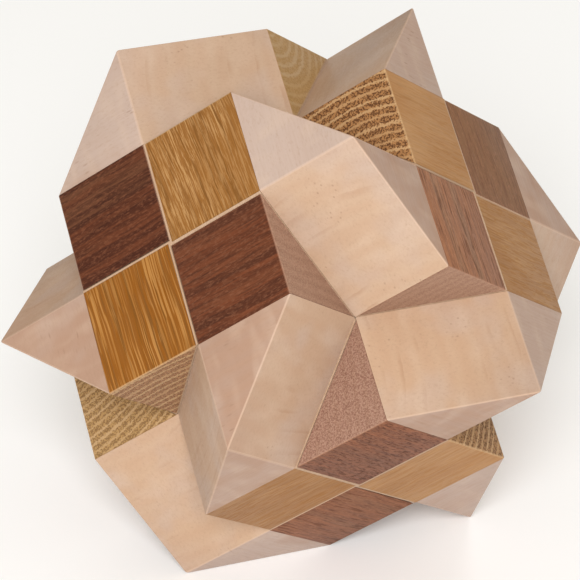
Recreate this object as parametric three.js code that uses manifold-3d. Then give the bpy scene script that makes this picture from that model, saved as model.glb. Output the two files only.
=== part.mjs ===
// A six-piece expanding burr puzzle in wood. Its outline is three crossed square bars with a bevelled
// maple stick in each of the twelve inside corners. Six identical pieces, one for each end of a bar,
// interlock so that none comes out alone: all six slide outwards together, each along its own bar.
//
// Every block is first described in the cube frame, whose axes run along the bars, in grid units. The
// puzzle then stands on three spike tips, with a diagonal of the cube pointing up.

import * as THREE from "three";
import { ConvexGeometry } from "three/addons/geometries/ConvexGeometry.js";
import { mergeVertices } from "three/addons/utils/BufferGeometryUtils.js";
import Module from "manifold-3d";

const wasm = await Module();
wasm.setup();

// Driving dimensions, in millimetres.
const UNIT = 20; // side of a grid square: half a bar's width, and the thickness of a maple stick
const GLUE_GAP = 0.1; // a glue line between two blocks of one piece
const SLIDE_GAP = 0.3; // clearance between two pieces that slide on each other
const STRIP = 0.45; // from the cross in the middle of a bar's end to the edge of each prism's slope

// How far a block's face stands back from its grid plane, in millimetres.
const OUTER = 0;
const GLUED = GLUE_GAP / 2;
const SLIDING = SLIDE_GAP / 2;
const FACING_A_GLUED_FACE = SLIDE_GAP - GLUED; // the whole clearance, where the other side keeps only GLUED
const RAMP_LIFT = STRIP / Math.SQRT2; // how far that slope stands off the grid's diagonal

// Places on the grid, in units: the middle of the cube, a bar's side and a bar's end.
const SIDE = 1;
const END = 2;

const MATERIALS = {
  core: { color: 0xdcba98, roughness: 0.55, metalness: 0 },
  maple: { color: 0xe2c3a4, roughness: 0.5, metalness: 0 },
  locust: { color: 0xb98a4a, roughness: 0.5, metalness: 0 },
  walnut: { color: 0x6f4434, roughness: 0.5, metalness: 0 },
};

// A plane that bounds a block: its outward direction in whole numbers, its place on the grid, and how
// far the face stands back from it.
function plane(x, y, z, place, standBack = OUTER) {
  const direction = new THREE.Vector3(x, y, z);
  return { direction, limit: place * UNIT - standBack * direction.length() };
}

// The point where three planes meet, or null where two of them are parallel.
function meetingPoint(a, b, c) {
  const rows = [a, b, c].map((side) => side.direction);
  const matrix = new THREE.Matrix3().set(...rows.flatMap((row) => row.toArray()));
  if (Math.abs(matrix.determinant()) < 1e-9) return null;
  return new THREE.Vector3(a.limit, b.limit, c.limit).applyMatrix3(matrix.invert());
}

// The convex solid that lies behind all of the given planes.
function solidBehind(planes) {
  const inside = (point) => planes.every((side) => side.direction.dot(point) < side.limit + 1e-6);
  const corners = [];
  planes.forEach((a, i) => {
    planes.slice(i + 1).forEach((b, j) => {
      planes.slice(i + j + 2).forEach((c) => {
        const point = meetingPoint(a, b, c);
        if (point && inside(point)) corners.push(point);
      });
    });
  });
  return new ConvexGeometry(distinct(corners));
}

function distinct(points) {
  return points.filter((point, i) => !points.slice(0, i).some((other) => other.distanceTo(point) < 1e-5));
}

function toManifold(geometry) {
  const bare = new THREE.BufferGeometry().setAttribute("position", geometry.getAttribute("position"));
  const merged = mergeVertices(bare, 1e-4);
  return new wasm.Manifold(
    new wasm.Mesh({
      numProp: 3,
      vertProperties: merged.attributes.position.array,
      triVerts: new Uint32Array(merged.index.array),
    }),
  );
}

function fromManifold(solid) {
  const mesh = solid.getMesh();
  const geometry = new THREE.BufferGeometry();
  geometry.setAttribute("position", new THREE.BufferAttribute(mesh.vertProperties, 3));
  geometry.setIndex(new THREE.BufferAttribute(mesh.triVerts, 1));
  const flat = geometry.toNonIndexed();
  flat.computeVertexNormals();
  return flat;
}

// The blocks of the piece whose bar end points along +Z. Its grain runs along Y. The piece looks the
// same after half a turn about Z, so each block is described once, on the +X side.

// A maple stick, square in section, lying along Y in the corner between the Z bar and the X bar. Each
// end is cut at 45 degrees, the two cuts turned a quarter turn from each other, which leaves a spike.
function mapleStick() {
  return solidBehind([
    plane(1, 0, 0, END),
    plane(0, 0, 1, END),
    plane(-1, 0, 0, -SIDE, GLUED),
    plane(0, 0, -1, -SIDE, GLUED),
    plane(0, -1, 1, END),
    plane(1, 1, 0, END),
  ]);
}

// A triangular prism that shows as a square on the bar's end, let into the core beside the stick.
function locustPrism() {
  return solidBehind([
    plane(0, 0, 1, END),
    plane(1, 0, 0, SIDE, GLUED),
    plane(0, 1, 0, SIDE),
    plane(0, -1, 0, 0, GLUED),
    plane(-1, 0, -1, -END, RAMP_LIFT + GLUED),
  ]);
}

// The same prism glued under the stick, where it hooks over the neighbouring piece's core and shows as
// a square on that neighbour's bar end.
function walnutPrism() {
  return solidBehind([
    plane(1, 0, 0, END),
    plane(0, 0, 1, SIDE, GLUED),
    plane(0, -1, 0, SIDE),
    plane(0, 1, 0, 0, SLIDING),
    plane(-1, 0, -1, -END, RAMP_LIFT + SLIDING),
  ]);
}

// The core: a four-sided pyramid with its point at the middle of the puzzle, and on it one square
// block of the bar, whose end is cut into four ramps, each ramp a quarter turn on from the last. The
// top of each ramp stops short of the next, which leaves a thin strip of the core on show.
function core() {
  const block = solidBehind([
    plane(0, 0, 1, END),
    plane(1, 0, 0, SIDE, GLUED),
    plane(-1, 0, 0, SIDE, GLUED),
    plane(0, 1, 0, SIDE, FACING_A_GLUED_FACE),
    plane(0, -1, 0, SIDE, FACING_A_GLUED_FACE),
    plane(1, 0, -1, 0, SLIDING),
    plane(-1, 0, -1, 0, SLIDING),
    plane(0, 1, -1, 0, SLIDING),
    plane(0, -1, -1, 0, SLIDING),
  ]);
  const locustSeat = seat(GLUED);
  const walnutSeat = seat(SLIDING).applyMatrix4(turnAboutZ(-Math.PI / 2));
  let solid = toManifold(block);
  for (const cut of [locustSeat, walnutSeat]) {
    solid = solid.subtract(toManifold(cut));
    solid = solid.subtract(toManifold(cut.clone().applyMatrix4(turnAboutZ(Math.PI))));
  }
  return fromManifold(solid);
}

// The wedge that is cut from the core's end for a prism, larger than the prism by the given gap.
function seat(standBack) {
  return solidBehind([
    plane(0, 0, 1, END + SIDE),
    plane(1, 0, 0, END),
    plane(0, 1, 0, END),
    plane(0, -1, 0, 0, -standBack),
    plane(-1, 0, -1, -END, RAMP_LIFT - standBack),
  ]);
}

function turnAboutZ(angle) {
  return new THREE.Matrix4().makeRotationZ(angle);
}

function meshOf(name, geometry, wood) {
  const mesh = new THREE.Mesh(geometry, new THREE.MeshStandardMaterial(MATERIALS[wood]));
  mesh.name = name;
  return mesh;
}

// One piece of the puzzle in its own frame: seven blocks, named after the piece.
function puzzlePiece(name) {
  const piece = new THREE.Group();
  piece.add(meshOf(name + "_core", core(), "core"));
  const blocks = { maple: mapleStick, locust: locustPrism, walnut: walnutPrism };
  for (const [wood, make] of Object.entries(blocks)) {
    for (const copy of [1, 2]) {
      const block = meshOf(name + "_" + wood + "_" + copy, make(), wood);
      block.rotation.z = (copy - 1) * Math.PI;
      piece.add(block);
    }
  }
  return piece;
}

// Turns a piece's own X, Y and Z to the given directions of the cube frame.
function turnedTo(x, y, z) {
  const axes = [x, y, z].map((axis) => new THREE.Vector3(...axis));
  return new THREE.Matrix4().makeBasis(...axes);
}

// Where each piece's own axes point. The woods change places where a bar is turned a quarter turn, so
// only the twelve turns that keep them are used: three bars, and half a turn for each other end.
const PLACES = {
  upper_left: turnedTo([1, 0, 0], [0, 1, 0], [0, 0, 1]),
  upper_right: turnedTo([0, 1, 0], [0, 0, 1], [1, 0, 0]),
  upper_back: turnedTo([0, 0, 1], [1, 0, 0], [0, 1, 0]),
  lower_right: turnedTo([1, 0, 0], [0, -1, 0], [0, 0, -1]),
  lower_left: turnedTo([0, -1, 0], [0, 0, 1], [-1, 0, 0]),
  lower_front: turnedTo([0, 0, 1], [-1, 0, 0], [0, -1, 0]),
};

const cube = new THREE.Group();
for (const [name, place] of Object.entries(PLACES)) {
  const piece = puzzlePiece(name);
  piece.applyMatrix4(place);
  cube.add(piece);
}

// The cube's diagonal points up. The three lowest spike tips touch the ground, with the origin midway
// between them, and +X runs along the widest reach, from spike to spike.
const up = new THREE.Vector3(1, 1, 1).normalize();
const widest = new THREE.Vector3(1, 0, -1).normalize();
const across = new THREE.Vector3().crossVectors(up, widest);
const standing = new THREE.Matrix4().makeBasis(widest, across, up).transpose();
cube.applyMatrix4(standing);
cube.position.z = (2 * END * UNIT) / Math.sqrt(3);

const puzzle = new THREE.Group();
puzzle.add(cube);

export default puzzle;
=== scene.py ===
"""The looks of a six-piece wooden burr puzzle: solid wood with grain, growth rings and pores that run
through each block, fine seams and eased edges."""

import math
import random
from functools import cached_property

import bmesh
import bpy
import numpy as np
from mathutils import Matrix, Quaternion, Vector


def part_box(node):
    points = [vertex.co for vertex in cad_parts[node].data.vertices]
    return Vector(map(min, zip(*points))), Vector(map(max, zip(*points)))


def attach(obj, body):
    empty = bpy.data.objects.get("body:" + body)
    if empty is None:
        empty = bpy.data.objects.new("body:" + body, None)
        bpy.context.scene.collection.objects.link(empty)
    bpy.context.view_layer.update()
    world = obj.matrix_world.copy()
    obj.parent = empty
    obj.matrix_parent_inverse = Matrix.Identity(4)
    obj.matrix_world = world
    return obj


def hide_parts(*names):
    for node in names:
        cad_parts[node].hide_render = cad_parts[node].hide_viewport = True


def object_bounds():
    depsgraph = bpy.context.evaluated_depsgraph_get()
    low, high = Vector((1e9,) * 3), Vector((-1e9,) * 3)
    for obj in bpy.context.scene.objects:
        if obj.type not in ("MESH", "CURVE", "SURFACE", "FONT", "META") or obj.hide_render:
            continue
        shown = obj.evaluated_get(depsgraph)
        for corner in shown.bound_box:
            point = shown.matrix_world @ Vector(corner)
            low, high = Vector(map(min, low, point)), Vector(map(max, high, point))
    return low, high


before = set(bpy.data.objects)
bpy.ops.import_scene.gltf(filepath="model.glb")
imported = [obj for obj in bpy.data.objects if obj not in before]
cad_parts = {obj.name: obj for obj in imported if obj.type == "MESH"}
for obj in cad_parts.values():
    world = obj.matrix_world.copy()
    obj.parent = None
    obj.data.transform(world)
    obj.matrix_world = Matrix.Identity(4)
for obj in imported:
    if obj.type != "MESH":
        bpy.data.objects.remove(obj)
CAD_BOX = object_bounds()
MM = 0.001

# ---------------------------------------------------------------- the grid that every block follows
# The cube frame has its axes along the three bars. In the row frame, one diagonal of the cube points up.
HEIGHT = CAD_BOX[1].z - CAD_BOX[0].z
TIP_SUM = 4  # the cube coordinates of an upper spike's tip, in units, add up to this
UNIT = HEIGHT * math.sqrt(3) / (2 * TIP_SUM)  # the side of a checkerboard square
CENTRE = Vector((0, 0, CAD_BOX[0].z + HEIGHT / 2))
WIDEST = Vector((1, 0, -1)).normalized()
UP = Vector((1, 1, 1)).normalized()
CUBE_TO_ROW = Matrix((WIDEST, UP.cross(WIDEST), UP))

# Each piece's own X, Y and Z in the cube frame: its grain runs along Y and its bar end points along Z.
PIECE_AXES = {
    "upper_left": ((1, 0, 0), (0, 1, 0), (0, 0, 1)),
    "upper_right": ((0, 1, 0), (0, 0, 1), (1, 0, 0)),
    "upper_back": ((0, 0, 1), (1, 0, 0), (0, 1, 0)),
    "lower_right": ((1, 0, 0), (0, -1, 0), (0, 0, -1)),
    "lower_left": ((0, -1, 0), (0, 0, 1), (-1, 0, 0)),
    "lower_front": ((0, 0, 1), (-1, 0, 0), (0, -1, 0)),
}


def in_row(vector):
    """A direction of the cube frame in the row frame."""
    return CUBE_TO_ROW @ Vector(vector)


def in_cube(vector):
    """A direction of the row frame in the cube frame."""
    return CUBE_TO_ROW.transposed() @ vector


# ---------------------------------------------------------------- camera, light and floor
# Angles are in degrees, lengths in metres except the lens's millimetres, and powers in watts.
AIM = CENTRE + Vector((-1.6, 0.6, 0.2)) * MM
CAMERA_AZIMUTH = -16.88
CAMERA_ELEVATION = 28.53
CAMERA_ROLL = -1.41
CAMERA_DISTANCE = 0.4989
LENS = 167.0
NEAREST_SEEN = 0.01
FURTHEST_SEEN = 20

LIGHT_DISTANCE = 2.4
KEY_AZIMUTH = -19.5
KEY_ELEVATION = 33
KEY_SIZE = 1.3
KEY_POWER = 61
FILL_AZIMUTH = 150
FILL_ELEVATION = 14
FILL_SIZE = 0.9
FILL_POWER = 20
AMBIENT = 0.47
AMBIENT_COLOUR = (1, 0.92, 0.8)

FLOOR_HALF_WIDTH = 4
FLOOR_COLOUR = (0.93, 0.95, 0.97)
FLOOR_ROUGHNESS = 0.9
FLOOR_GLOSS = 0.1


def direction(azimuth, elevation):
    """The way from the object to a viewer. An azimuth goes from -Y towards +X."""
    a, e = math.radians(azimuth), math.radians(elevation)
    return Vector((math.sin(a) * math.cos(e), -math.cos(a) * math.cos(e), math.sin(e)))


def facing(back, roll=0):
    """The turn of a camera or light that looks along -back."""
    return (-back).to_track_quat("-Z", "Y") @ Quaternion((0, 0, 1), math.radians(roll))


def add_object(name, data):
    made = bpy.data.objects.new(name, data)
    bpy.context.scene.collection.objects.link(made)
    return made


def make_camera():
    data = bpy.data.cameras.new("camera")
    data.lens = LENS
    data.clip_start = NEAREST_SEEN
    data.clip_end = FURTHEST_SEEN
    camera = add_object("camera", data)
    back = direction(CAMERA_AZIMUTH, CAMERA_ELEVATION)
    camera.location = AIM + back * CAMERA_DISTANCE
    camera.rotation_mode = "QUATERNION"
    camera.rotation_quaternion = facing(back, CAMERA_ROLL)
    bpy.context.scene.camera = camera


def make_light(name, azimuth, elevation, size, power):
    """A round soft light that shines on the middle of the puzzle."""
    data = bpy.data.lights.new(name, "AREA")
    data.shape = "DISK"
    data.size = size
    data.energy = power
    light = add_object(name, data)
    back = direction(azimuth, elevation)
    light.location = CENTRE + back * LIGHT_DISTANCE
    light.rotation_mode = "QUATERNION"
    light.rotation_quaternion = facing(back)
    return light


def make_world():
    """Even light from all around, a little warm."""
    world = bpy.data.worlds.new("studio")
    world.use_nodes = True
    background = world.node_tree.nodes["Background"]
    background.inputs["Color"].default_value = (*AMBIENT_COLOUR, 1)
    background.inputs["Strength"].default_value = AMBIENT
    bpy.context.scene.world = world
    bpy.context.scene.view_settings.view_transform = "Standard"


def make_floor():
    mesh = bpy.data.meshes.new("floor")
    half = FLOOR_HALF_WIDTH
    corners = [(-half, -half, 0), (half, -half, 0), (half, half, 0), (-half, half, 0)]
    mesh.from_pydata(corners, [], [(0, 1, 2, 3)])
    floor = add_object("floor", mesh)
    material = bpy.data.materials.new("pale_floor")
    material.use_nodes = True
    shader = material.node_tree.nodes["Principled BSDF"]
    shader.inputs["Base Color"].default_value = (*FLOOR_COLOUR, 1)
    shader.inputs["Roughness"].default_value = FLOOR_ROUGHNESS
    shader.inputs["Specular IOR Level"].default_value = FLOOR_GLOSS
    mesh.materials.append(material)


make_camera()
make_world()
make_light("key", KEY_AZIMUTH, KEY_ELEVATION, KEY_SIZE, KEY_POWER)
fill = make_light("fill", FILL_AZIMUTH, FILL_ELEVATION, FILL_SIZE, FILL_POWER)
fill.visible_glossy = False
make_floor()

# ---------------------------------------------------------------- node helpers
MIX_FACTOR, MIX_COLOUR_A, MIX_COLOUR_B, MIX_RESULT = 0, 6, 7, 2  # the colour sockets of a Mix node


class Graph:
    """Adds nodes to a tree. A value may be a number, a colour or vector, or another node's output."""

    def __init__(self, tree):
        self.tree = tree

    def node(self, kind, values=None, **settings):
        made = self.tree.nodes.new(kind)
        for name, setting in settings.items():
            setattr(made, name, setting)
        for key, value in (values or {}).items():
            self.put(made.inputs[key], value)
        return made

    def put(self, socket, value):
        if isinstance(value, bpy.types.NodeSocket):
            self.tree.links.new(value, socket)
        elif socket.type == "RGBA":
            socket.default_value = (*value, 1)
        else:
            socket.default_value = value

    def math(self, operation, a, b=0.0, c=0.0):
        return self.node("ShaderNodeMath", {0: a, 1: b, 2: c}, operation=operation).outputs[0]

    def times(self, a, b):
        return self.math("MULTIPLY", a, b)

    def between(self, share, a, b):
        """The number that lies a share of the way from a to b."""
        return self.math("MULTIPLY_ADD", share, self.math("SUBTRACT", b, a), a)

    def vector(self, operation, a, b=(0, 0, 0), output="Vector"):
        return self.node("ShaderNodeVectorMath", {0: a, 1: b}, operation=operation).outputs[output]

    def scaled(self, vector, scale):
        values = {0: vector, "Scale": scale}
        return self.node("ShaderNodeVectorMath", values, operation="SCALE").outputs["Vector"]

    def dot(self, a, b):
        return self.vector("DOT_PRODUCT", a, b, output="Value")

    def attribute(self, name, kind="OBJECT", output="Fac"):
        """What an object's custom property or a mesh's own attribute holds."""
        made = self.node("ShaderNodeAttribute", attribute_name=name, attribute_type=kind)
        return made.outputs[output]

    def noise(self, vector, scale, detail, roughness=0.5, output="Fac"):
        values = {"Vector": vector, "Scale": scale, "Detail": detail, "Roughness": roughness}
        return self.node("ShaderNodeTexNoise", values).outputs[output]

    def cells(self, vector, scale):
        """The distance to the nearest of some scattered points."""
        return self.node("ShaderNodeTexVoronoi", {"Vector": vector, "Scale": scale}).outputs["Distance"]

    def ramp(self, value, low, high, to_low=0.0, to_high=1.0):
        """Goes smoothly from to_low at low to to_high at high."""
        values = {"Value": value, "From Min": low, "From Max": high, "To Min": to_low, "To Max": to_high}
        return self.node("ShaderNodeMapRange", values, interpolation_type="SMOOTHSTEP").outputs[0]

    def blend(self, share, a, b, strength=None):
        """Colour a where share is 0 and colour b where it is 1. A strength makes the share smaller."""
        if strength is not None:
            share = self.times(share, strength)
        values = {MIX_FACTOR: share, MIX_COLOUR_A: a, MIX_COLOUR_B: b}
        return self.node("ShaderNodeMix", values, data_type="RGBA").outputs[MIX_RESULT]


SEED_WAY = (1, 1.7, 0.6)  # the way in which a block's seed moves its patterns
SWAY_SCALE = 0.09  # patterns sway to and fro about once in the inverse of this, in millimetres
SWAY = 0.9  # how far they sway, in millimetres
ENDLESS = 1e4  # drawn out this many times, a pattern doesn't change along the grain


class Wood:
    """What a wood's colours are worked out from, at a point of a block: where it is along and across the
    grain, how far it is from the heart of the tree, and how the surface cuts the grain and the rings.
    Places are in millimetres."""

    def __init__(self, graph):
        g = self.graph = graph
        coordinates = g.node("ShaderNodeTexCoord")
        self.normal = coordinates.outputs["Normal"]
        self.grain = g.attribute("grain", output="Vector")
        self.tone = g.attribute("tone")
        self.hue = g.attribute("hue")
        self.figure = g.attribute("figure")
        self.short = g.attribute("short")
        # How much a rounded edge is lightened, as real wear and as a painted highlight.
        self.edge_wear_and_highlight = g.attribute("edge_wear_and_highlight", "GEOMETRY")
        millimetres = g.scaled(coordinates.outputs["Object"], 1 / MM)
        place = g.vector("ADD", millimetres, g.scaled(SEED_WAY, g.attribute("seed")))
        sway = g.noise(place, SWAY_SCALE, detail=1, output="Color")
        sway = g.vector("SUBTRACT", sway, (0.5, 0.5, 0.5))
        self.place = g.vector("ADD", place, g.scaled(sway, SWAY))
        self.from_heart = g.vector("SUBTRACT", millimetres, g.attribute("heart", output="Vector"))

    @cached_property
    def end(self):
        """How squarely the surface cuts the grain: 0 on side grain and 1 on end grain."""
        g = self.graph
        return g.math("POWER", g.dot(self.normal, self.grain), 2)

    @cached_property
    def flat_sawn(self):
        """0 where the surface cuts straight across the rings and 1 where it lies along them."""
        g = self.graph
        outward = g.vector("NORMALIZE", self.drawn_out(self.from_heart, ENDLESS))
        return g.math("POWER", g.dot(self.normal, outward), 2)

    def drawn_out(self, vector, times):
        """vector with the pattern on it drawn out that many times along the grain."""
        g = self.graph
        along = g.dot(vector, self.grain)
        return g.vector("ADD", vector, g.scaled(self.grain, g.times(along, 1 / times - 1)))

    def fibre(self, times, scale, detail=3, roughness=0.6):
        """Noise that runs along the grain."""
        return self.graph.noise(self.drawn_out(self.place, times), scale, detail, roughness)

    def pores(self, times, scale, low, high):
        """Small holes in the end grain, drawn out into dashes along the grain."""
        g = self.graph
        return g.ramp(g.cells(self.drawn_out(self.place, times), scale), high, low)

    def rings(self, wobble, wander, ragged=0.0):
        """The count of growth rings from the heart, as a number that rises by 1 for each. It wobbles slowly
        and is finely ragged, both by millimetres, and it wanders by a share of a ring."""
        g = self.graph
        radius = g.vector("LENGTH", self.drawn_out(self.from_heart, ENDLESS), output="Value")
        slow = g.noise(self.drawn_out(self.place, 6), scale=0.05, detail=1)
        shifted = g.math("MULTIPLY_ADD", slow, wobble * 2, radius)
        if ragged:
            shifted = g.math("MULTIPLY_ADD", self.fibre(6, 1.1, detail=2), ragged * 2, shifted)
        count = g.math("DIVIDE", shifted, g.attribute("spacing"))
        return g.math("MULTIPLY_ADD", self.by_ring(count, scale=0.6, detail=1), wander * 2, count)

    def by_ring(self, count, scale, detail, row=0.0):
        """Noise that goes with the count of rings. Each row is another noise."""
        g = self.graph
        line = g.node("ShaderNodeCombineXYZ", {0: count, 1: row, 2: 0.0}).outputs[0]
        return g.noise(line, scale, detail)

    def wave(self, count):
        """Rises and falls between 0 and 1, once for each ring."""
        g = self.graph
        return g.math("MULTIPLY_ADD", g.math("SINE", g.times(count, math.tau)), 0.5, 0.5)

    def season(self, count):
        """How strong each ring is, between 0 and 1."""
        return self.graph.ramp(self.by_ring(count, scale=0.8, detail=0, row=7.3), 0.3, 0.7)

    def late_wood(self, count, start, full, fade):
        """The outer band of each ring, as shares of its width: it starts, is full, and fades to the end."""
        g = self.graph
        turn = g.math("FRACT", count)
        return g.times(g.ramp(turn, start, full), g.ramp(turn, 1.0, fade))


def new_material(name):
    material = bpy.data.materials.new(name)
    material.use_nodes = True
    return material, Graph(material.node_tree)


def satin(graph, colour, roughness, height, depth, gloss=0.25):
    """Ends a material in a satin wood surface. The depth of its relief is in millimetres."""
    shader = graph.tree.nodes["Principled BSDF"]
    bump = graph.node("ShaderNodeBump", {"Height": height, "Distance": depth * MM, "Strength": 1.0})
    graph.put(shader.inputs["Base Color"], colour)
    graph.put(shader.inputs["Roughness"], roughness)
    graph.put(shader.inputs["Normal"], bump.outputs[0])
    shader.inputs["Specular IOR Level"].default_value = gloss


# ---------------------------------------------------------------- woods
# Colours are linear red, green and blue. Of a pair, the first is for a value of 0 and the second for 1.
MAPLE = {
    "side": ((0.375, 0.237, 0.17), (0.465, 0.36, 0.307)),
    "cut": ((0.44, 0.325, 0.245), (0.48, 0.318, 0.208)),
    "dark_cut": (0.33, 0.2, 0.14),
    "late_wood": (0.4, 0.22, 0.13),
    "ring_line": (0.33, 0.17, 0.09),
    "cloud": (0.44, 0.34, 0.29),
    "curl": (0.57, 0.43, 0.33),
    "fibre": (0.33, 0.2, 0.125),
    "grit": (0.3, 0.19, 0.12),
    "fleck": (0.2, 0.105, 0.06),
    # lightens rounded edges: real wear and a painted highlight
    "worn_and_highlit": (0.6, 0.43, 0.32),
}
LOCUST = {
    "golden": ((0.255, 0.107, 0.021), (0.225, 0.073, 0.003)),
    "golden_dark_line": (0.16, 0.06, 0.006),
    "golden_pale_line": ((0.47, 0.27, 0.11), (0.4, 0.185, 0.045)),
    "tan": ((0.37, 0.178, 0.062), (0.42, 0.225, 0.094)),
    "tan_dark_line": (0.25, 0.11, 0.03),
    "tan_pale_line": (0.5, 0.31, 0.15),
    "dash": (0.19, 0.075, 0.015),
    "plain_end": ((0.45, 0.275, 0.108), (0.3, 0.185, 0.11)),
    "porous_end": ((0.33, 0.19, 0.075), (0.35, 0.14, 0.045)),
    "late_wood": ((0.48, 0.33, 0.18), (0.46, 0.28, 0.135)),
    "bore": (0.08, 0.026, 0.007),
    "fibre": (0.2, 0.1, 0.04),
    # lightens rounded edges: real wear and a painted highlight
    "worn_and_highlit": (0.55, 0.37, 0.2),
}
WALNUT = {
    "dark": ((0.085, 0.033, 0.015), (0.118, 0.03, 0.012)),
    "pale": ((0.285, 0.145, 0.072), (0.37, 0.136, 0.058)),
    "deeper": ((0.04, 0.011, 0.006), (0.16, 0.06, 0.03)),
    "lighter": ((0.18, 0.066, 0.033), (0.45, 0.225, 0.13)),
    "olive": ((0.115, 0.058, 0.03), (0.27, 0.16, 0.09)),
    "pore": ((0.03, 0.008, 0.004), (0.11, 0.038, 0.018)),
    "end": ((0.39, 0.235, 0.16), (0.31, 0.175, 0.125)),
    "late_wood": (0.27, 0.15, 0.1),
    "pale_dot": (0.46, 0.3, 0.22),
    "dark_dot": (0.17, 0.075, 0.055),
    "bore": (0.17, 0.08, 0.05),
    # lightens rounded edges: real wear and a painted highlight
    "worn_and_highlit": (0.36, 0.2, 0.13),
}
CORE = {
    "side": ((0.42, 0.275, 0.18), (0.49, 0.34, 0.235)),
    "late_wood": (0.4, 0.24, 0.14),
}


def maple_ground(g, wood):
    """Maple before its markings: palest on the flat-sawn sides of a pale board."""
    pale = g.times(wood.tone, g.ramp(wood.flat_sawn, 0, 1, 0.05, 1))
    side = g.blend(pale, *MAPLE["side"])
    cut = g.blend(wood.hue, *MAPLE["cut"])
    cut = g.blend(g.ramp(wood.tone, 0, 1, 0.25, 0), cut, MAPLE["dark_cut"])
    return g.blend(g.ramp(wood.end, 0.05, 0.45), side, cut)


def maple_rings(g, wood, colour):
    """Faint rings, and a thin line at the end of some of them."""
    count = wood.rings(wobble=1.6, wander=0.5, ragged=0.15)
    colour = g.blend(wood.wave(count), colour, MAPLE["late_wood"], strength=0.16)
    some = g.ramp(g.noise(g.scaled(wood.from_heart, 0.12), scale=1, detail=1), 0.45, 0.75)
    line = wood.late_wood(count, start=0.7, full=0.95, fade=0.95)
    return g.blend(line, colour, MAPLE["ring_line"], strength=g.times(some, 0.42))


def maple_clouds(g, wood, colour):
    """Soft pale clouds, and curl that shimmers across the grain."""
    cloud = g.noise(wood.place, scale=0.11, detail=2)
    colour = g.blend(g.ramp(cloud, 0.42, 0.7, 0, 0.4), colour, MAPLE["cloud"])
    curl = g.noise(wood.drawn_out(wood.place, 0.4), scale=0.13, detail=1)
    return g.blend(g.ramp(curl, 0.45, 0.75, 0, 0.22), colour, MAPLE["curl"])


def maple_flecks(g, wood, colour):
    """Fine grit all over, and patches of dark flecks."""
    grit = g.noise(wood.drawn_out(wood.place, 2.5), scale=2.4, detail=2, roughness=0.7)
    colour = g.blend(g.ramp(grit, 0.5, 0.75, 0, 0.24), colour, MAPLE["grit"])
    patch = g.ramp(g.noise(wood.place, scale=0.13, detail=1), 0.56, 0.7)
    fleck = wood.pores(times=4, scale=1.1, low=0.08, high=0.24)
    return g.blend(fleck, colour, MAPLE["fleck"], strength=g.times(patch, 0.4))


def maple():
    material, g = new_material("maple")
    wood = Wood(g)
    fibre = wood.fibre(times=22, scale=2.2)
    colour = maple_ground(g, wood)
    colour = maple_rings(g, wood, colour)
    colour = maple_clouds(g, wood, colour)
    colour = g.blend(g.ramp(fibre, 0.62, 0.32, 0, 0.1), colour, MAPLE["fibre"])
    colour = maple_flecks(g, wood, colour)
    # Rounded edges are lightened, partly as real wear and partly as a painted highlight.
    colour = g.blend(wood.edge_wear_and_highlight, colour, MAPLE["worn_and_highlit"], strength=0.3)
    satin(g, colour, roughness=g.ramp(fibre, 0.3, 0.7, 0.54, 0.44), height=fibre, depth=0.015)
    return material


def locust_side(g, wood):
    """Golden boards with strong pale and dark lines, and tan boards with weak ones. The pale lines are
    straight on red boards and broken on grey ones."""
    straight = g.ramp(wood.fibre(times=80, scale=3.1, detail=1), 0.5, 0.6)
    broken = g.ramp(wood.fibre(times=20, scale=3.5, roughness=0.7), 0.48, 0.59)
    pale_lines = g.between(g.ramp(wood.hue, 0.3, 0.9), broken, straight)
    dark_lines = g.ramp(wood.fibre(times=60, scale=2.3, detail=2), 0.49, 0.62)
    mottle = wood.fibre(times=3, scale=0.15, detail=2)
    golden = g.blend(wood.hue, *LOCUST["golden"])
    darkness = g.ramp(wood.tone, 0, 0.5, 0.85, 0.35)
    golden = g.blend(dark_lines, golden, LOCUST["golden_dark_line"], darkness)
    bright = g.blend(wood.hue, *LOCUST["golden_pale_line"])
    brightness = g.times(g.ramp(mottle, 0.4, 0.6, 0.45, 0.95), g.ramp(wood.tone, 0, 0.5, 1, 0.6))
    golden = g.blend(pale_lines, golden, bright, brightness)
    clarity = g.ramp(wood.figure, 0, 1, 0.05, 0.2)
    tan = g.blend(g.ramp(mottle, 0.35, 0.65), *LOCUST["tan"])
    tan = g.blend(pale_lines, tan, LOCUST["tan_pale_line"], clarity)
    tan = g.blend(dark_lines, tan, LOCUST["tan_dark_line"], clarity)
    dash = wood.pores(times=14, scale=1.5, low=0.1, high=0.34)
    side = g.blend(wood.tone, golden, tan)
    return g.blend(dash, side, LOCUST["dash"], strength=g.ramp(wood.tone, 0, 1, 0.4, 0.18))


def locust_end(g, wood):
    """The end grain: each ring starts with a band of large dark bores and ends with dense pale late wood.
    Gives its colour and where the bores are."""
    jitter = g.noise(wood.drawn_out(wood.place, 6), scale=2.2, detail=2, roughness=0.7)
    count = g.math("MULTIPLY_ADD", jitter, 0.7, wood.rings(wobble=0.8, wander=0.3, ragged=0.2))
    late = wood.late_wood(count, start=0.55, full=0.72, fade=0.9)
    chunks = g.noise(wood.drawn_out(wood.place, 9), scale=2.5, detail=2, roughness=0.75)
    bore = g.times(g.ramp(chunks, 0.47, 0.55), g.ramp(late, 0.8, 0.3))
    plain = g.blend(wood.hue, *LOCUST["plain_end"])
    porous = g.blend(wood.hue, *LOCUST["porous_end"])
    early_wood = g.blend(wood.figure, plain, porous)
    late_wood = g.blend(wood.figure, *LOCUST["late_wood"])
    clarity = g.times(g.ramp(wood.figure, 0, 1, 0.75, 1), g.ramp(wood.season(count), 0, 1, 0.5, 1))
    end = g.blend(late, early_wood, late_wood, clarity)
    end = g.blend(bore, end, LOCUST["bore"], strength=g.ramp(wood.figure, 0, 1, 0.1, 0.92))
    return end, bore


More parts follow.
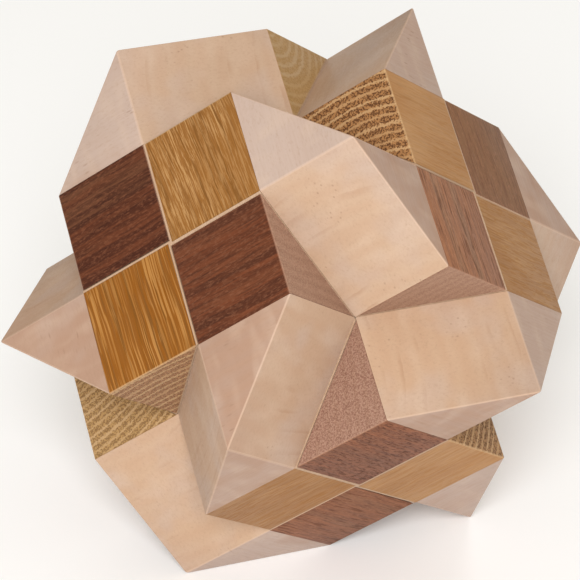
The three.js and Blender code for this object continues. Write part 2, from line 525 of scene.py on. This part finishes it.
def locust():
    material, g = new_material("locust")
    wood = Wood(g)
    fibre = wood.fibre(times=30, scale=2.4, roughness=0.65)
    end, bore = locust_end(g, wood)
    colour = g.blend(g.ramp(wood.end, 0.15, 0.75), locust_side(g, wood), end)
    colour = g.blend(g.ramp(fibre, 0.62, 0.32, 0, 0.15), colour, LOCUST["fibre"])
    # Rounded edges are lightened, partly as real wear and partly as a painted highlight.
    colour = g.blend(wood.edge_wear_and_highlight, colour, LOCUST["worn_and_highlit"], strength=0.4)
    height = g.math("MULTIPLY_ADD", g.times(bore, wood.end), -1.0, g.times(fibre, 0.3))
    satin(g, colour, roughness=g.ramp(bore, 0, 1, 0.45, 0.65), height=height, depth=0.05)
    return material


def walnut_side(g, wood, fibre):
    """Side grain with olive and dark stripes, dark fibres and lighter speckles between them."""
    dark = g.blend(wood.hue, *WALNUT["dark"])
    pale = g.blend(wood.hue, *WALNUT["pale"])
    deeper = g.blend(wood.tone, *WALNUT["deeper"])
    lighter = g.blend(wood.tone, *WALNUT["lighter"])
    olive = g.blend(wood.tone, *WALNUT["olive"])
    varied = g.ramp(wood.figure, 0.1, 0.5, 0.25, 1)
    oliveness = g.times(g.ramp(wood.hue, 0.4, 1, 0.6, 0.1), varied)
    side = g.blend(wood.tone, dark, pale)
    side = g.blend(g.ramp(wood.fibre(times=30, scale=0.3, detail=1), 0.5, 0.62), side, olive, oliveness)
    stripe = g.times(g.ramp(wood.fibre(times=40, scale=0.45, detail=2), 0.44, 0.6), varied)
    side = g.blend(stripe, side, deeper, strength=g.ramp(wood.tone, 0, 0.6, 0.75, 0.25))
    side = g.blend(g.ramp(fibre, 0.56, 0.36, 0, 0.6), side, deeper)
    speckle = g.noise(wood.drawn_out(wood.place, 3), scale=3.0, detail=2, roughness=0.7)
    lightness = g.ramp(wood.tone, 0, 0.5, 0.55, 0.4)
    return g.blend(g.ramp(speckle, 0.46, 0.7), side, lighter, lightness)


def walnut_dashes(g, wood):
    """Where pores are cut open along the side grain, into short or long dashes."""
    long_dash = g.ramp(wood.fibre(times=14, scale=2.0, detail=2), 0.53, 0.64)
    short_dash = g.ramp(wood.fibre(times=5, scale=3.0, detail=2, roughness=0.75), 0.46, 0.68)
    return g.times(g.between(wood.short, long_dash, short_dash), wood.figure)


def walnut_end(g, wood, bore):
    """End grain with soft rings, pale and dark dots and small bores."""
    count = wood.rings(wobble=1.6, wander=0.5, ragged=0.12)
    end = g.blend(wood.short, *WALNUT["end"])
    end = g.blend(wood.wave(count), end, WALNUT["late_wood"], strength=0.5)
    dots = g.noise(wood.place, scale=3.4, detail=2, roughness=0.7)
    end = g.blend(g.ramp(dots, 0.55, 0.35, 0, 0.35), end, WALNUT["pale_dot"])
    darkness = g.ramp(wood.short, 0, 1, 0.25, 0.7)
    end = g.blend(g.ramp(dots, 0.44, 0.68), end, WALNUT["dark_dot"], darkness)
    return g.blend(bore, end, WALNUT["bore"], strength=0.25)


def walnut():
    material, g = new_material("walnut")
    wood = Wood(g)
    fibre = wood.fibre(times=18, scale=2.0, roughness=0.65)
    dash = walnut_dashes(g, wood)
    bore = wood.pores(times=16, scale=1.7, low=0.16, high=0.34)
    pore = g.blend(wood.tone, *WALNUT["pore"])
    side = g.blend(dash, walnut_side(g, wood, fibre), pore, strength=0.8)
    colour = g.blend(g.ramp(wood.end, 0.15, 0.75), side, walnut_end(g, wood, bore))
    # Rounded edges are lightened, partly as real wear and partly as a painted highlight.
    colour = g.blend(wood.edge_wear_and_highlight, colour, WALNUT["worn_and_highlit"], strength=0.35)
    height = g.math("MULTIPLY_ADD", g.math("MAXIMUM", dash, bore), -0.6, g.times(fibre, 0.4))
    roughness = g.ramp(dash, 0, 1, 0.45, 0.62)
    satin(g, colour, roughness, height, depth=0.04, gloss=0.14)
    return material


def core_wood():
    """The wood inside, which shows only in the seams until the pieces slide apart."""
    material, g = new_material("core")
    wood = Wood(g)
    fibre = wood.fibre(times=30, scale=2.6)
    count = wood.rings(wobble=2.0, wander=0.4)
    colour = g.blend(g.ramp(fibre, 0.3, 0.7), *CORE["side"])
    late = wood.late_wood(count, start=0.5, full=0.95, fade=0.95)
    colour = g.blend(late, colour, CORE["late_wood"], strength=0.3)
    satin(g, colour, roughness=0.62, height=fibre, depth=0.03)
    return material


MATERIALS = {"maple": maple(), "locust": locust(), "walnut": walnut(), "core": core_wood()}

# ---------------------------------------------------------------- boards
# A board's tone goes from 0 for dark or golden to 1 for pale, its hue from 0 for grey or olive to 1 for
# red. Its figure is how much the rings and pores stand out, and short is how short its pores are. Its
# rings are spaced in millimetres, and turn degrees from the bar end's outward direction. Their heart lies
# millimetres away. Its grain leans from the block's own length by degrees.
BOARDS = {
    "maple": dict(tone=0.6, hue=0.8, figure=0.5, spacing=2.7, turn=0, heart=120, lean=0, short=0),
    "locust": dict(tone=0.9, hue=0.5, figure=0.6, spacing=1.7, turn=60, heart=50, lean=0, short=0),
    "walnut": dict(tone=0.7, hue=0.6, figure=0.6, spacing=2.1, turn=5, heart=80, lean=0, short=0.4),
    "core": dict(tone=0.8, hue=0.5, figure=0.5, spacing=2.8, turn=30, heart=60, lean=0, short=0),
}
# How much boards of one wood differ.
SPREAD = dict(tone=0.12, hue=0.15, figure=0.15, spacing=0.15, turn=9, heart=12, lean=2, short=0.3)
# What is known of single boards from the photo. The rest is left to chance.
OWN = {
    "upper_left_maple_1": dict(tone=1, hue=0.7, turn=0),
    "upper_left_maple_2": dict(tone=-0.4),
    "upper_back_maple_1": dict(tone=0.8, hue=0.6, turn=90),
    "upper_right_maple_1": dict(tone=0.55, hue=0.6),
    "upper_right_maple_2": dict(tone=0.6, hue=1),
    "lower_right_maple_1": dict(tone=0.7, hue=0.1),
    "lower_left_maple_1": dict(tone=0.85, hue=0.9, turn=90),
    "lower_front_maple_1": dict(tone=0.1, hue=0.8),
    "upper_left_locust_1": dict(tone=0.05, lean=6, figure=0.3, hue=0.2),
    "upper_left_locust_2": dict(tone=0, lean=2, figure=0.4, hue=1, turn=-4, heart=90, spacing=1.9),
    "upper_right_locust_2": dict(tone=0.55, figure=0.6),
    "lower_front_locust_1": dict(tone=0.45, figure=0.3),
    "lower_front_locust_2": dict(tone=0.8, figure=0.75, spacing=1.5),
    "upper_right_locust_1": dict(tone=1, figure=1, turn=82, heart=40, spacing=1.65, lean=0),
    "lower_left_locust_1": dict(figure=0.5, hue=0, turn=105, heart=40, spacing=1.5, lean=0),
    "upper_back_locust_1": dict(figure=0.05, hue=0, turn=219, heart=11, spacing=2.1, lean=0),
    "upper_back_walnut_1": dict(tone=0, hue=0.65, figure=0.4, short=0),
    "lower_front_walnut_1": dict(tone=0.12, hue=1, figure=0.5, short=0.3),
    "lower_right_walnut_1": dict(tone=0.62, hue=0, figure=0.15, short=0.5),
    "upper_left_walnut_1": dict(tone=1, hue=0.55, figure=0.9, short=0.2),
    "upper_right_walnut_2": dict(tone=0.5, hue=1, figure=1, short=1),
    "lower_left_walnut_1": dict(tone=0.58, hue=0.75, figure=0.7, short=0.1),
}
MOST_SEED = 500


def board_of(name, wood, chance):
    """What the board of a block is like, by chance and by what is known of it."""
    board = {key: usual + SPREAD[key] * chance.uniform(-1, 1) for key, usual in BOARDS[wood].items()}
    board.update(OWN.get(name, {}))
    return board


def describe_board(block, name, wood, piece):
    """Gives a block the custom properties that its material reads."""
    chance = random.Random(name)
    board = board_of(name, wood, chance)
    own_x, own_y, own_z = (in_row(axis) for axis in PIECE_AXES[piece])
    if name.endswith("2"):  # the second of two alike is the first one turned round
        own_x, own_y = -own_x, -own_y
    turn, lean = math.radians(board["turn"]), math.radians(board["lean"])
    outward = own_z * math.cos(turn) + own_x * math.sin(turn)
    low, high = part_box(name)
    block["grain"] = list(own_y * math.cos(lean) - own_x * math.sin(lean))
    block["heart"] = list((low + high) / 2 / MM - outward * board["heart"])
    block["seed"] = chance.uniform(0, MOST_SEED)
    for key in ("tone", "hue", "figure", "spacing", "short"):
        block[key] = float(board[key])


# ---------------------------------------------------------------- blocks
EASED = 0.25 * MM  # the width of an open edge, rounded with sandpaper
SLID = 0.08 * MM  # the width of an edge where one piece slides past another
SEGMENTS = 3
ROUNDED_SLOT = 1  # the material slot of rounded faces, until they are marked for wear and a painted highlight
SLIGHT_WEAR_AND_HIGHLIGHT = 0.25  # the wear and painted highlight of an edge that isn't between two open faces
FLUSH = 0.02 * MM  # a face with less clearance is open
GLUED = 0.1 * MM  # a face with less clearance, and not open, is glued
RAMP_LIFT = 0.45 * MM / math.sqrt(2)  # how far a prism's slope stands off the grid's diagonal
RAMP_PLACE = 2  # the two coordinates that a ramp's diagonal mixes add up to this many units
SLOPING = 1.1  # a face slopes if its direction in whole numbers is longer than this
TIGHTER = 0.5  # the share of each clearance that the finished blocks close
SAME_POINT = 1e-6  # vertices that are closer, in metres, are joined
SAME_PLANE = math.radians(0.5)  # triangles that turn by less are one flat face
SAME_DIRECTION = 1e-4  # faces whose normals differ by less push a vertex as one


def clearance(face):
    """How far a face keeps back from the block it faces: nothing for an open face, a little for a
    glued one, and more for one that slides."""
    normal = in_cube(face.normal)
    whole = Vector([round(x / max(map(abs, normal))) for x in normal])
    place = in_cube(face.calc_center_median() - CENTRE).dot(whole) / UNIT
    back = abs(place - round(place)) * UNIT / whole.length
    on_ramp = whole.length > SLOPING and abs(round(place)) == RAMP_PLACE
    return abs(back - RAMP_LIFT) if on_ramp and back > FLUSH else back


def edge_width(edge, wood):
    """How much of an edge is rounded off."""
    most, least = sorted((clearance(face) for face in edge.link_faces), reverse=True)
    if least > FLUSH or FLUSH < most < GLUED or wood == "core":
        return 0
    return EASED if most < FLUSH else SLID


def close_up(shape):
    """Moves each face that isn't open towards the block it faces, so that the seams are fine lines."""
    moves = {face: clearance(face) * TIGHTER for face in shape.faces}
    shifts = []
    for vertex in shape.verts:
        normals = np.array([face.normal[:] for face in vertex.link_faces])
        wanted = np.array([moves[face] for face in vertex.link_faces])
        shifts.append((vertex, np.linalg.lstsq(normals, wanted, rcond=SAME_DIRECTION)[0]))
    for vertex, shift in shifts:
        vertex.co += Vector(shift.tolist())


def clean_mesh(node, wood):
    """The CAD block as a mesh of whole flat faces, with its edges' widths as bevel weights, and the
    normals and middles of its open faces."""
    shape = bmesh.new()
    shape.from_mesh(node.data)
    bmesh.ops.remove_doubles(shape, verts=shape.verts, dist=SAME_POINT)
    bmesh.ops.dissolve_limit(shape, angle_limit=SAME_PLANE, verts=shape.verts, edges=shape.edges)
    shape.normal_update()
    weights = shape.edges.layers.float.new("bevel_weight_edge")
    for edge in shape.edges:
        width = edge_width(edge, wood)
        edge[weights] = width / EASED
        edge.smooth = width > 0
    for face in shape.faces:
        face.smooth = True
        face.material_index = 0
    open_faces = [(f.normal.copy(), f.calc_center_median()) for f in shape.faces if clearance(f) < FLUSH]
    close_up(shape)
    mesh = bpy.data.meshes.new(node.name + "_wood")
    shape.to_mesh(mesh)
    shape.free()
    return mesh, open_faces


def round_edges(block, material, open_faces):
    """Rounds the weighted edges, and marks the rounded faces to be lightened, as real wear and as a painted
    highlight, most of all between open faces.
    """
    block.data.materials.append(material)
    block.data.materials.append(MATERIALS["maple"])  # any material will do to fill the second slot
    modifier = block.modifiers.new("eased_edges", "BEVEL")
    modifier.width = EASED
    modifier.segments = SEGMENTS
    modifier.limit_method = "WEIGHT"
    modifier.use_clamp_overlap = True
    modifier.harden_normals = True
    modifier.material = ROUNDED_SLOT
    graph = bpy.context.evaluated_depsgraph_get()
    rounded = block.evaluated_get(graph)
    mesh = bpy.data.meshes.new_from_object(rounded, preserve_all_data_layers=True, depsgraph=graph)
    block.modifiers.clear()
    # How much each rounded face is lightened: real wear and a painted highlight.
    worn_and_highlit = mesh.attributes.new("edge_wear_and_highlight", "FLOAT", "FACE")
    for face in mesh.polygons:
        if face.material_index == ROUNDED_SLOT:
            near = [abs(normal.dot(face.center - point)) < EASED for normal, point in open_faces]
            worn_and_highlit.data[face.index].value = 1 if sum(near) > 1 else SLIGHT_WEAR_AND_HIGHLIGHT
        face.material_index = 0
    mesh.materials.clear()
    mesh.materials.append(material)
    block.data = mesh


def build_block(name, node):
    """The finished look of one block, which takes the CAD block's place."""
    wood = next(kind for kind in BOARDS if "_" + kind in name)
    piece = name.split("_" + wood)[0]
    mesh, open_faces = clean_mesh(node, wood)
    block = add_object(name + "_wood", mesh)
    round_edges(block, MATERIALS[wood], open_faces)
    describe_board(block, name, wood, piece)
    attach(block, piece + "_piece")
    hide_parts(name)


for name, node in sorted(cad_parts.items()):
    build_block(name, node)
